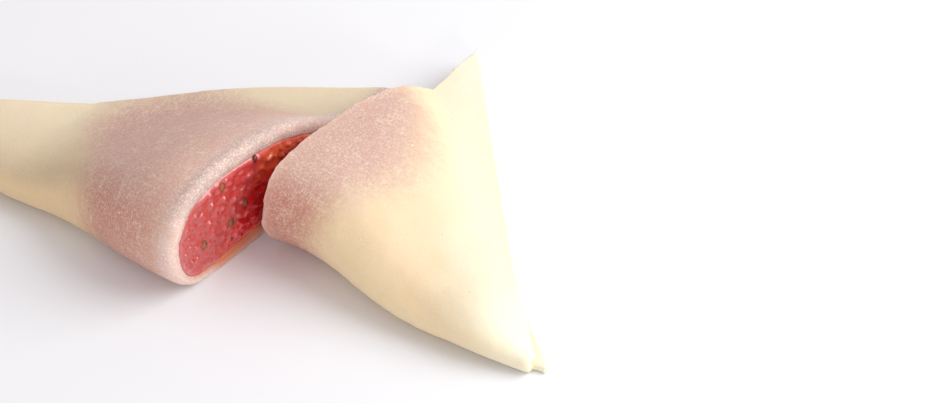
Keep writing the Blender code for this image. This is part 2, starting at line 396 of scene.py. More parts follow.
def filling_line(shape: HalfShape, x: float, points: int, gap: float, fine: int) -> Array:
    """Outline of the filling at x: the dough's inside up to the filling's back, set in by a gap.

    Args:
        shape: The half that holds the filling.
        x: Distance from the cut.
        points: How many points the outline gets.
        gap: How far it stays off the dough, in millimetres.
        fine: How many times finer than the solid's points the dough's inside is read.

    Returns:
        The y and z of each point.
    """
    section, _ = shape.section(x, LEAF_POINTS * fine, ARCH_POINTS * fine)
    front = section[:, 0].min()
    lift = shape.swell(x)
    reach = SHEET.filling_reach[0] * (1.0 - lift) + SHEET.filling_reach[1] * lift
    limit = front + shape.filled_share * reach * (float(shape.straight_edge(x)) - front)
    kept = section[section[:, 0] <= limit]
    outline = respace(kept, np.linspace(0.0, along_line(kept)[-1], points))
    heading = np.gradient(outline, axis=0)
    heading /= np.linalg.norm(heading, axis=1)[:, None]
    outline += gap * np.column_stack([heading[:, 1], -heading[:, 0]])
    middle = outline.mean(axis=0)
    taper = math.sqrt(1.0 - (x / shape.filling_length) ** SHEET.taper_power)
    return middle + taper * (outline - middle)


def find_centring() -> Array:
    """How far the solids were moved to centre them, in millimetres.

    Returns:
        The shift, found by making the left filling as coarsely as its solid is made.
    """
    rings = []
    for x in np.linspace(0.0, LEFT.filling_length * FILLING_END, FILLING_STATIONS):
        line = filling_line(LEFT, x, FILLING_POINTS, FILLING_GAP, FILLING_FINENESS)
        rings.append(LEFT.place(np.column_stack([np.full(len(line), x), line])))
    made = np.vstack(rings)
    solid = np.array(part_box("left_filling")) / MM
    return solid.mean(axis=0) - (made.min(axis=0) + made.max(axis=0)) / 2.0


CENTRING = find_centring()


# --------------------------------------------------------------------------------------------------
# Meshes
# --------------------------------------------------------------------------------------------------

@dataclass
class Skin:
    """A mesh being made: points in millimetres, faces, and numbers kept at the points."""

    points: Array
    faces: Faces
    numbers: dict[str, Array]

    def mesh(self, name: str, flipped: bool = False) -> Mesh:
        """Make the Blender mesh.

        Args:
            name: The mesh's name.
            flipped: True if every face has to be turned round to point outwards.

        Returns:
            The mesh, in metres and in the shared frame.
        """
        faces = [tuple(reversed(face)) for face in self.faces] if flipped else self.faces
        made = bpy.data.meshes.new(name)
        made.from_pydata([tuple(point) for point in self.points * MM], [], faces)
        for label, values in self.numbers.items():
            kind, part = ("FLOAT", "value") if values.ndim == 1 else ("FLOAT_VECTOR", "vector")
            attribute = made.attributes.new(label, kind, "POINT")
            attribute.data.foreach_set(part, np.ascontiguousarray(values, dtype=np.float32).ravel())
        made.shade_smooth()
        made.update()
        return made


def new_piece(name: str, mesh: Mesh, material: Material, slot: str,
              *nodes: str) -> None:
    """Show a finished mesh as a piece of the food.

    Args:
        name: The piece's name.
        mesh: Its mesh, already in place.
        material: Its finish.
        slot: Not used.
        *nodes: The solids that it stands for.
    """
    mesh.materials.clear()
    mesh.materials.append(material)
    piece = bpy.data.objects.new(name, mesh)
    bpy.context.scene.collection.objects.link(piece)
    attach(piece, BODY)
    if nodes:
        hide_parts(*nodes)
    log.info("%s: %d faces", name, len(mesh.polygons))


def grid_faces(rows: int, columns: int, closed: bool = False) -> Faces:
    """Quads of a grid whose points are numbered row by row.

    Args:
        rows: How many rows the grid has.
        columns: How many points a row has.
        closed: True if the last row joins the first.

    Returns:
        The faces.
    """
    faces = []
    for row in range(rows if closed else rows - 1):
        here, there = row * columns, (row + 1) % rows * columns
        faces += [(here + i, here + i + 1, there + i + 1, there + i) for i in range(columns - 1)]
    return faces


# --------------------------------------------------------------------------------------------------
# Finishes
# --------------------------------------------------------------------------------------------------

class NodeMaker:
    """A node tree being made, with one call that adds a node and feeds it."""

    def __init__(self, tree: bpy.types.NodeTree) -> None:
        """Keep the tree."""
        self.tree = tree

    def feed(self, socket: Socket, source: object) -> None:
        """Give a socket its link or its value.

        Args:
            socket: The input.
            source: Another node's output, or a plain value.
        """
        if isinstance(source, Socket):
            self.tree.links.new(source, socket)
        else:
            socket.default_value = source

    def node(self, kind: str, inputs: dict[str | int, object] | None = None,
             **settings: object) -> bpy.types.Node:
        """Add a node and feed it.

        Args:
            kind: The node's Blender type.
            inputs: Values or outputs, by input name or number.
            **settings: Properties set on it first.

        Returns:
            The node.
        """
        made = self.tree.nodes.new(kind)
        for name, value in settings.items():
            setattr(made, name, value)
        for name, value in (inputs or {}).items():
            self.feed(made.inputs[name], value)
        return made

    def maths(self, operation: str, *values: object) -> Socket:
        """One sum on values or sockets."""
        return self.node("ShaderNodeMath", dict(enumerate(values)), operation=operation).outputs[0]

    def times(self, first: object, second: object) -> Socket:
        """The product of two values or sockets."""
        return self.maths("MULTIPLY", first, second)


class Shading(NodeMaker):
    """A material's nodes, with one call for each kind that the finishes use."""

    def __init__(self, name: str) -> None:
        """Start a material.

        Args:
            name: The material's name.
        """
        self.material = bpy.data.materials.new(name)
        self.material.use_nodes = True
        super().__init__(self.material.node_tree)

    def kept(self, name: str, output: str = "Fac") -> Socket:
        """Numbers kept at the mesh's points: one a point, or three from the output Vector."""
        return self.node("ShaderNodeAttribute", attribute_name=name).outputs[output]

    def stretched(self, vector: Socket, scale: tuple[float, float, float],
                  turn: float = 0.0) -> Socket:
        """Coordinates turned by degrees about their third axis and scaled."""
        return self.node("ShaderNodeMapping", {
            "Vector": vector, "Scale": scale, "Rotation": (0.0, 0.0, math.radians(turn))}).outputs[0]

    def millimetres(self) -> Socket:
        """Object coordinates in millimetres."""
        return self.stretched(self.node("ShaderNodeTexCoord").outputs["Object"], (1.0 / MM,) * 3)

    def mottle(self, vector: Socket, grain: float, detail: float = 2.0,
               roughness: float = 0.5, distortion: float = 0.0) -> Socket:
        """Soft noise from 0 to 1, with lumps of the grain's size in millimetres."""
        return self.node("ShaderNodeTexNoise", {
            "Vector": vector, "Scale": 1.0 / grain, "Detail": detail, "Roughness": roughness,
            "Distortion": distortion}).outputs["Fac"]

    def ramp(self, value: object, low: float, high: float, start: float = 0.0,
             end: float = 1.0) -> Socket:
        """Values from low to high turned smoothly into values from start to end."""
        return self.node("ShaderNodeMapRange", {
            "Value": value, "From Min": low, "From Max": high, "To Min": start, "To Max": end,
        }, interpolation_type="SMOOTHSTEP").outputs["Result"]

    def mix(self, share: object, first: object, second: object) -> Socket:
        """Mix of two colours: the first at a share of 0, the second at 1."""
        return self.node("ShaderNodeMix", {0: share, 6: first, 7: second}, data_type="RGBA").outputs[2]

    def bump(self, height: Socket, depth: float, strength: object = 1.0,
             **under: Socket) -> Socket:
        """Unevenness, as many millimetres deep as a height of 1, over the Normal of another."""
        return self.node("ShaderNodeBump", {
            "Height": height, "Distance": depth * MM, "Strength": strength, **under}).outputs["Normal"]

    def dress(self, **values: object) -> Material:
        """Set or link the shader's sockets.

        Args:
            **values: Socket names, with underscores for spaces, and values or sockets.

        Returns:
            The material.
        """
        shader = self.tree.nodes["Principled BSDF"]
        for name, value in values.items():
            self.feed(shader.inputs[name.replace("_", " ").title().replace("Ior", "IOR")], value)
        return self.material


@dataclass(frozen=True)
class RiceDoughFinish:
    """Soft cooked rice dough, with the jam glowing through where it lies close under it.

    Its colours are the cream dough's, level and steep, then the pink where the jam shows, then the
    pale cut's, the stain's inside the fold, and the pale bits' in the pink and along the cut. Some are
    painted light: the steep walls' warmer cream and rosier pink stand for light through the thin dough,
    the paler cream towards the back edge is a painted highlight, and the lighter pink by the cut is
    painted sheen.
    """

    cream: Colour
    cream_deep: Colour
    # Painted glow: cream_wall_glow and jam_rose_glow, on steep walls, stand for light passing through the
    # thin dough.
    cream_wall_glow: Colour
    # Painted highlight: the cream turns to this towards the thin back edge, where the light falls
    # brightest.
    cream_edge_highlight: Colour = (0.92, 0.885, 0.69, 1.0)
    jam_mauve: Colour = (0.535, 0.315, 0.265, 1.0)
    jam_rose_glow: Colour = (0.565, 0.24, 0.185, 1.0)
    # Painted sheen: the pink turns to this near the cut.
    jam_sheen_near_cut: Colour = (0.80, 0.51, 0.41, 1.0)
    cut_top: Colour = (0.52, 0.385, 0.34, 1.0)
    cut_side: Colour = (0.80, 0.585, 0.505, 1.0)
    stained: Colour = (0.70, 0.20, 0.09, 1.0)
    streak: Colour = (0.90, 0.78, 0.60, 1.0)
    frost: Colour = (0.97, 0.86, 0.78, 1.0)
    roughness: float = 0.50
    light_depth: float = 1.4

    def build(self, name: str) -> Material:
        """Make the material.

        Args:
            name: The material's name.

        Returns:
            The material, which reads the numbers kept at the dough's points.
        """
        make = Shading(name)
        place = make.millimetres()
        sheet = make.kept("along_sheet", "Vector")
        glow, band, stain, steep, near_cut, near_edge = (make.kept(kept) for kept in (
            "jam_glow", "cut_band", "jam_stain", "steepness", "near_cut", "near_edge"))

        clouds = make.mottle(place, 8.0, detail=3.0)
        sand = make.mottle(place, 0.30, detail=3.0, roughness=0.75)
        one_way = make.mottle(make.stretched(sheet, (1.0, 0.22, 1.0), 34.0), 0.34, 2.5, 0.6, 0.9)
        other_way = make.mottle(make.stretched(sheet, (0.26, 1.0, 1.0), 15.0), 0.30, 2.5, 0.6, 0.9)
        patches = make.ramp(make.mottle(place, 3.2, 2.5), 0.38, 0.64, 0.12, 1.0)
        fibres = make.maths("MAXIMUM", make.ramp(one_way, 0.52, 0.64), make.ramp(other_way, 0.53, 0.65))
        fibres = make.times(fibres, patches)

        cream = make.mix(make.ramp(clouds, 0.30, 0.70), self.cream, self.cream_deep)
        # Painted highlight: the cream grows paler towards the thin back edge.
        cream = make.mix(near_edge, cream, self.cream_edge_highlight)
        # Painted glow: steep walls take a warmer cream and a rosier pink for light passing through the
        # thin dough, less so near the back edge.
        wall = make.maths("SUBTRACT", 0.8, make.times(near_edge, 0.6))
        cream = make.mix(make.times(steep, wall), cream, self.cream_wall_glow)
        pink = make.mix(steep, self.jam_mauve, self.jam_rose_glow)
        # Painted sheen: the pink grows lighter near the cut, for light on its rounded shoulder.
        pink = make.mix(make.times(near_cut, 0.75), pink, self.jam_sheen_near_cut)
        broken = make.times(make.mottle(place, 1.7, detail=4.0, roughness=0.65), 0.5)
        shown = make.maths("SUBTRACT", make.maths("ADD", glow, broken), 0.25)
        shown = make.ramp(make.maths("SUBTRACT", shown, make.times(fibres, 0.18)), 0.05, 0.95)
        colour = make.mix(shown, cream, pink)

        light = make.ramp(sand, 0.46, 0.66, 0.0, 0.44)
        light = make.maths("ADD", light, make.times(fibres, 0.30))
        light = make.times(light, make.maths("ADD", make.times(shown, 0.72), 0.28))
        colour = make.mix(light, colour, self.streak)
        lines = make.mottle(make.stretched(sheet, (2.2, 0.26, 2.2)), 0.5, 3.0, 0.65)
        pale = make.times(band, make.ramp(lines, 0.36, 0.60, 0.55, 1.0))
        colour = make.mix(pale, colour, make.mix(steep, self.cut_top, self.cut_side))
        frosted = make.times(make.ramp(sand, 0.48, 0.64, 0.0, 0.55), band)
        colour = make.mix(frosted, colour, self.frost)
        colour = make.mix(stain, colour, self.stained)

        bump = make.bump(sand, 0.07, 0.8)
        bump = make.bump(fibres, 0.04, 0.5, Normal=bump)
        bump = make.bump(lines, 0.10, make.ramp(band, 0.1, 0.8, 0.15, 0.7), Normal=bump)
        return make.dress(
            base_color=colour,
            roughness=make.ramp(band, 0.2, 0.9, self.roughness, self.roughness - 0.12),
            normal=bump,
            subsurface_weight=0.35,
            subsurface_radius=(1.0, 0.62, 0.38),
            subsurface_scale=self.light_depth * MM,
            specular_ior_level=0.42,
        )


@dataclass(frozen=True)
class StrawberryJamFinish:
    """Wet red jam: rosy where light falls on the cut, and a deep crimson of painted shade where the other
    half shades it.
    """

    # Painted light and shade: lit_rosy stands for the jam where light falls on the cut, deep for where the
    # other half shades it.
    lit_rosy: Colour = (0.52, 0.050, 0.047, 1.0)
    deep: Colour = (0.68, 0.013, 0.018, 1.0)
    orange: Colour = (0.74, 0.14, 0.050, 1.0)
    pulp: Colour = (0.78, 0.26, 0.23, 1.0)
    light_depth: float = 1.2

    def build(self, name: str) -> Material:
        """Make the material.

        Args:
            name: The material's name.

        Returns:
            The material, which reads the numbers kept at the jam's points.
        """
        make = Shading(name)
        place = make.millimetres()
        # Painted shade: tail is the share of the cut that the other half shades, which takes the deep
        # crimson.
        tail, roof, rim = map(make.kept, ("painted_shade", "towards_roof", "towards_rim"))
        clouds = make.mottle(place, 2.6, detail=3.0, roughness=0.6)
        drift = make.times(make.maths("SUBTRACT", clouds, 0.5), 0.4)
        way = make.maths("ADD", tail, drift)
        colour = make.mix(make.ramp(way, 0.10, 0.60), self.lit_rosy, self.deep)
        top = make.times(make.ramp(roof, 0.45, 0.95), make.ramp(way, 0.05, 0.45))
        colour = make.mix(make.times(top, 0.8), colour, self.orange)
        colour = make.mix(make.times(make.ramp(rim, 0.3, 1.0), 0.22), colour, self.pulp)
        fibres = make.mottle(make.stretched(place, (1.0, 0.5, 1.0)), 0.45, 3.0, 0.7, 0.4)
        colour = make.mix(make.ramp(fibres, 0.56, 0.76, 0.0, 0.30), colour, self.pulp)
        beads = make.mottle(place, 0.45, detail=2.0, roughness=0.6)
        return make.dress(
            base_color=colour,
            roughness=make.ramp(clouds, 0.3, 0.7, 0.22, 0.34),
            normal=make.bump(beads, 0.06, 0.6),
            subsurface_weight=0.30,
            subsurface_radius=(1.0, 0.22, 0.14),
            subsurface_scale=self.light_depth * MM,
            specular_ior_level=0.5,
            coat_weight=1.0,
            coat_roughness=0.07,
            coat_ior=1.6,
        )


@dataclass(frozen=True)
class SeedFinish:
    """Golden brown strawberry seeds, darker at the foot, under a film of jam."""

    crown: Colour = (0.42, 0.11, 0.022, 1.0)
    foot: Colour = (0.13, 0.022, 0.008, 1.0)

    def build(self, name: str) -> Material:
        """Make the material.

        Args:
            name: The material's name.

        Returns:
            The material, which reads the height kept at the seeds' points.
        """
        make = Shading(name)
        grain = make.mottle(make.millimetres(), 0.25)
        height = make.maths("ADD", make.kept("seed_height"), make.times(grain, 0.25))
        return make.dress(
            base_color=make.mix(make.ramp(height, 0.85, 1.15), self.foot, self.crown),
            roughness=0.22,
            normal=make.bump(grain, 0.04, 0.6),
            coat_weight=0.25,
            coat_roughness=0.10,
        )


@dataclass(frozen=True)
class GrainFinish:
    """Bits in the dough: pale flecks and grains of rice, or brown specks."""

    light: Colour
    dark: Colour

    def build(self, name: str) -> Material:
        """Make the material.

        Args:
            name: The material's name.

        Returns:
            The material.
        """
        make = Shading(name)
        tone = make.mottle(make.millimetres(), 0.9)
        return make.dress(
            base_color=make.mix(make.ramp(tone, 0.35, 0.65), self.light, self.dark),
            roughness=0.45,
            subsurface_weight=0.2,
            subsurface_radius=(1.0, 0.7, 0.5),
            subsurface_scale=0.5 * MM,
        )


# --------------------------------------------------------------------------------------------------
# Dough
# --------------------------------------------------------------------------------------------------

class CutEdge(Enum):
    """How the knife left a cut's outer edge: how round, how ragged and how widely pale, in millimetres."""

    PULLED_ROUND = (1.5, 0.22, 3.2)
    CRISP = (0.16, 0.55, 0.6)

    def __init__(self, radius: float, ragged: float, pale_rim: float) -> None:
        """Name the three sizes."""
        self.radius, self.ragged, self.pale_rim = radius, ragged, pale_rim


@dataclass(frozen=True)
class JamGlow:
    """How far the jam shows through a half's dough, in millimetres along the sheet.

    It keeps its full reach from the cut as far back as the centre, rounds off from there to the
    back, and has a reach of its own on the wall in front; the blur is half the way over which it fades.
    """

    reach: float
    centre: float
    back: float
    roundness: float
    wall_reach: float
    wall: tuple[float, float]
    blur: float

    def strength(self, x: Array, unrolled: Array) -> Array:
        """How strongly the jam shows.

        Args:
            x: Distance of each point from the cut.
            unrolled: Distance of each point from where the sheet leaves the table.

        Returns:
            1 where it shows fully, 0 where it doesn't.
        """
        places = np.linspace(-5.0, self.centre + self.back, 160)
        behind = np.clip((places - self.centre) / self.back, 0.0, 1.0) ** self.roundness
        border = self.reach * (1.0 - behind) ** (1.0 / self.roundness)
        share = smooth_step((places - self.wall[0]) / (self.wall[1] - self.wall[0]))
        border -= (self.reach - self.wall_reach) * (1.0 - share)
        inside = (x < np.interp(unrolled, places, border)) & (unrolled < places[-1])
        away = np.full(x.shape, np.inf)
        for place, edge in zip(places, border):
            away = np.minimum(away, np.hypot(x - edge, unrolled - place))
        under_jam = smooth_step((unrolled + 1.1 * self.back) / self.blur)
        return under_jam * smooth_step(0.5 + np.where(inside, away, -away) / (2.0 * self.blur))


@dataclass
class HalfDough:
    """One half's sheet of dough: a fine closed skin with soft edges and a little relief.

    Sizes are in millimetres. The waves and the grain of its outside have a height and a size.
    """

    shape: HalfShape
    cut_edge: CutEdge
    glow: JamGlow
    finish: RiceDoughFinish
    table_radius: float = 0.3
    inner_radius: float = 0.18
    corner_radius: float = 0.8
    side_radius: float = 0.7
    cut_bulge: float = 0.02
    stations: int = 96
    lines: int = 150
    leaf_points: int = 60
    arch_points: int = 340
    round_steps: int = 7
    end_steps: int = 5
    # How far from the back edge the painted highlight reaches.
    edge_highlight_reach: float = 24.0
    bits_from: float = 2.6
    rounded_over: float = 7.0
    sunk: float = 0.10
    waves: tuple[float, float] = (0.15, 5.5)
    grain: tuple[float, float] = (0.08, 1.5)
    wander: float = 2.2
    nicks: float = 0.55
    ragged_over: float = 0.8
    seed: int = 1

    def profile(self, outer_radius: float) -> tuple[Array, Array]:
        """Way round the sheet's thickness, in by the inside and back by the outside.

        Args:
            outer_radius: Radius of the cut's outer edge.

        Returns:
            x and depth of each point: it starts at the corner's end, half way through the sheet,
            and the depth is 0 on the inside and the sheet's thickness on the outside.
        """
        end, thick = self.shape.corner_at, SHEET.thickness
        turn = np.linspace(0.0, math.pi / 2.0, self.round_steps)
        share = np.linspace(0.0, 1.0, self.stations)
        share = 0.35 * share + 0.65 * share ** 2
        middle = 0.5 * (self.inner_radius + thick - outer_radius)
        ways = []
        for radius, outside in ((self.inner_radius, False), (outer_radius, True)):
            last = end - self.corner_radius
            x = radius + (last - radius) * share[::-1]
            corner_x = last + self.corner_radius * np.cos(turn[:-1])
            corner_w = self.corner_radius * (1.0 - np.sin(turn[:-1]))
            cut_x = radius * (1.0 - np.sin(turn[1:]))
            cut_w = radius * (1.0 - np.cos(turn[1:]))
            face = thick - middle if outside else middle
            face_w = np.linspace(radius, face, 5)[1:]
            face_x = np.linspace(0.0, -self.cut_bulge, 5)[1:]
            way = np.column_stack([
                np.concatenate([[end], corner_x, x, cut_x, face_x]),
                np.concatenate([[0.5 * thick], corner_w, np.zeros(len(x)), cut_w, face_w]),
            ])
            if outside:
                way = way[:-1][::-1]
                way[:, 1] = thick - way[:, 1]
            else:
                way = way[1:]
            ways.append(way)
        way = np.vstack(ways)
        return way[:, 0], way[:, 1]

    def sheet_lines(self, x: float) -> tuple[Array, Array, Array]:
        """The sheet's inside at x, with its points spread evenly but for the soft side edges.

        Args:
            x: Distance from the cut.

        Returns:
            The placed points, and for each its distance from where the sheet leaves the table and
            the sheet's thickness.
        """
        section, flat = self.shape.section(x, self.leaf_points, self.arch_points)
        length = along_line(section)[-1]
        turn = np.linspace(0.0, math.pi / 2.0, self.end_steps)
        ends = self.side_radius * (1.0 - np.cos(turn))
        inner = np.linspace(ends[-1], length - ends[-1], self.lines)[1:-1]
        along = np.concatenate([ends, inner, (length - ends)[::-1]])
        line = respace(section, along)
        leaf_share = np.clip(along / max(flat, 1e-6), 0.0, 1.0)
        in_lower_leaf = smooth_step((1.0 - leaf_share) * (LEAF_POINTS - 1) / SHEET.tongue_fade)
        pressed = 1.0 - self.shape.unpressed(x)
        tongue = self.shape.tongue * pressed ** SHEET.tongue_power * in_lower_leaf
        placed = self.shape.place(np.column_stack([x + tongue, line]))
        return placed, along - flat, self.shape.section_thickness(x, line)

    def insets(self) -> Array:
        """How far the skin is drawn in to round its straight edges.

        Returns:
            One distance for each line, in millimetres.
        """
        turn = np.linspace(0.0, math.pi / 2.0, self.end_steps)
        ends = self.side_radius * (1.0 - np.sin(turn))
        return np.concatenate([ends, np.zeros(self.lines - 2), ends[::-1]])

    def relief(self, points: Array, outward: Array) -> Array:
        """How far the outside is drawn in by the dough's unevenness, in millimetres.

        Args:
            points: Points of the smooth outside.
            outward: Directions out of the dough there.

        Returns:
            One depth for each point; none where the dough rests on the table.
        """
        depth = np.full(len(points), self.sunk)
        for more, (height, size) in enumerate((self.waves, self.grain)):
            depth += height * np.clip(0.5 + 0.7 * soft_noise(points, size, self.seed + more), 0.0, 1.0)
        return depth * smooth_step((outward[:, 2] + 0.97) / 0.25)

    def skin(self) -> Skin:
        """Make the half's closed skin.

        Returns:
            Its points, faces and kept numbers.
        """
        x, depth = self.profile(self.table_radius)
        step = 0.02
        here, unrolled, sheet = (np.array(part) for part in zip(*map(self.sheet_lines, x)))
        before = [self.sheet_lines(place - step)[0] for place in x]
        after = [self.sheet_lines(place + step)[0] for place in x]
        across = (np.array(after) - np.array(before)) / (2.0 * step)
        along = np.gradient(here, axis=1)
        outward = np.cross(across, along) * self.shape.side.value
        outward /= np.linalg.norm(outward, axis=2)[:, :, None]

        thick, end = SHEET.thickness, self.shape.corner_at
        inset = self.insets()[None, :]
        rounded = smooth_step((unrolled + 1.0) / self.rounded_over)
        cut_x, cut_depth = self.profile(self.cut_edge.radius)
        drawn_x = x[:, None] + rounded * (cut_x - x)[:, None]
        drawn_x = inset + drawn_x * (end - 2.0 * inset) / end
        drawn_w = depth[:, None] + rounded * (cut_depth - depth)[:, None]
        drawn_w = (inset + drawn_w * (thick - 2.0 * inset) / thick) * sheet / thick
        wander, nicks = (soft_noise(here.reshape(-1, 3), size, self.seed + more).reshape(drawn_x.shape)
                         for more, size in ((2, self.wander), (3, self.nicks)))
        ragged = self.cut_edge.ragged * np.clip(0.4 + 0.6 * wander + 0.8 * nicks, 0.0, 1.6)
        drawn_x += ragged * np.exp(-x[:, None] / self.ragged_over)
        points = here + (drawn_x - x[:, None])[:, :, None] * across + drawn_w[:, :, None] * outward

        flat_points, flat_out = points.reshape(-1, 3), outward.reshape(-1, 3)
        sunk = self.relief(flat_points, flat_out).reshape(drawn_w.shape)
        outsideness = smooth_step(depth / thick * 1.6 - 0.6)[:, None]
        points = points - (sunk * outsideness)[:, :, None] * outward

        faces = self.faces(*points.shape[:2])
        numbers = self.kept_numbers(x, depth, unrolled, outward)
        points = points.reshape(-1, 3) + CENTRING
        points[:, 2] = np.maximum(points[:, 2], 0.0)
        return Skin(points, faces, numbers)

    def faces(self, ways: int, lines: int) -> Faces:
        """Faces of the skin, whose points are numbered way by way.

        Args:
            ways: How many points the profile has.
            lines: How many lines run round each.

        Returns:
            The faces, closed all round.
        """
        faces = grid_faces(ways, lines, closed=True)
        for k, turned in ((0, False), (lines - 1, True)):
            for i in range(ways // 2 - 1):
                a, b = i, i + 1
                c, d = ways - 2 - i, ways - 1 - i
                face = tuple(n * lines + k for n in (a, b, c, d))
                faces.append(tuple(reversed(face)) if turned else face)
        return faces

    def kept_numbers(self, x: Array, depth: Array, unrolled: Array,
                     outward: Array) -> dict[str, Array]:
        """Numbers that the finish reads at the dough's points.

        Args:
            x: Distance from the cut, for each point of the profile.
            depth: Depth in the sheet, for each point of the profile.
            unrolled: Distance from where the sheet leaves the table, for every point.
            outward: Direction out of the dough, for every point.

        Returns:
            The numbers by name.
        """
        wide = np.broadcast_to(x[:, None], unrolled.shape)
        deep = np.broadcast_to(depth[:, None], unrolled.shape)
        glow = self.glow.strength(wide, unrolled)
        inside = 1.0 - deep / SHEET.thickness
        rim = self.cut_edge.pale_rim
        band = smooth_step(1.0 - wide / rim) * (0.5 + 0.5 * smooth_step(1.5 - 3.0 * wide / rim))
        under = smooth_step(1.0 - unrolled / 9.0)
        stain = inside ** 2 * (0.25 + 0.75 * under) + 0.55 * under * smooth_step(unrolled / -3.0 + 0.4)
        sheet = np.stack([wide, unrolled, deep], axis=-1)
        return {
            "jam_glow": glow.ravel(),
            "cut_band": band.ravel(),
            "jam_stain": (stain * glow * smooth_step(1.0 - (wide - 0.3) / 30.0)).ravel(),
            # near_cut sets the painted sheen of the pink by the cut.
            "near_cut": np.exp(-wide / (1.5 * rim)).ravel(),
            # near_edge sets the painted highlight towards the back edge.
            "near_edge": np.maximum(
                smooth_step(1.0 - (unrolled[:, -1:] - unrolled) / self.edge_highlight_reach),
                smooth_step(unrolled / -8.0)).ravel(),
            # steepness sets where the painted glow of the walls goes.
            "steepness": smooth_step((0.985 - outward[..., 2]) / 0.50).ravel(),
            "along_sheet": sheet.reshape(-1, 3),
        }

    def build(self) -> Skin:
        """Make the piece.

        Returns:
            The skin, for what lies on it.
        """
        skin, name = self.skin(), f"{self.shape.name}_rice_dough"
        mesh = skin.mesh(name, flipped=self.shape.side is Side.RIGHT)
        material = self.finish.build(f"rice dough {self.shape.name}")
        new_piece(name, mesh, material, "rice_dough", f"{self.shape.name}_dough")
        return skin

    def outside(self, skin: Skin) -> Skin:
        """The part of the skin that small bits may lie on.

        Args:
            skin: The whole skin.

        Returns:
            Its upper outside, with how thickly the bits lie.
        """
        x, depth = self.profile(self.table_radius)
        lines = len(skin.points) // len(x)
        keep = np.flatnonzero((depth >= SHEET.thickness - 1e-6) & (x < self.shape.corner_at - 1.0))
        first, last = self.end_steps, lines - self.end_steps
        index = (keep[:, None] * lines + np.arange(first, last)[None, :]).ravel()
        glow = skin.numbers["jam_glow"][index]
        near_cut = np.exp(-skin.numbers["along_sheet"][index, 0] / 0.8)
        faces = grid_faces(len(keep), last - first)
        if self.shape.side is Side.RIGHT:
            faces = [tuple(reversed(face)) for face in faces]
        off_table = skin.numbers["along_sheet"][index, 1] > self.bits_from
        clusters = np.clip(0.40 + 1.6 * soft_noise(skin.points[index], 3.4, self.seed + 4), 0.06, 1.0)
        numbers = {"speck_share": (0.14 + 0.86 * glow) * (1.0 - near_cut) * off_table * clusters}
        return Skin(skin.points[index], faces, numbers)


# --------------------------------------------------------------------------------------------------
# Jam
# --------------------------------------------------------------------------------------------------

@dataclass(frozen=True)
class SeedPlace:
    """Where a seed sits on a cut: y and z in the half's own millimetres, heading and size."""

    y: float
    z: float
    heading: float
    size: float = 1.0


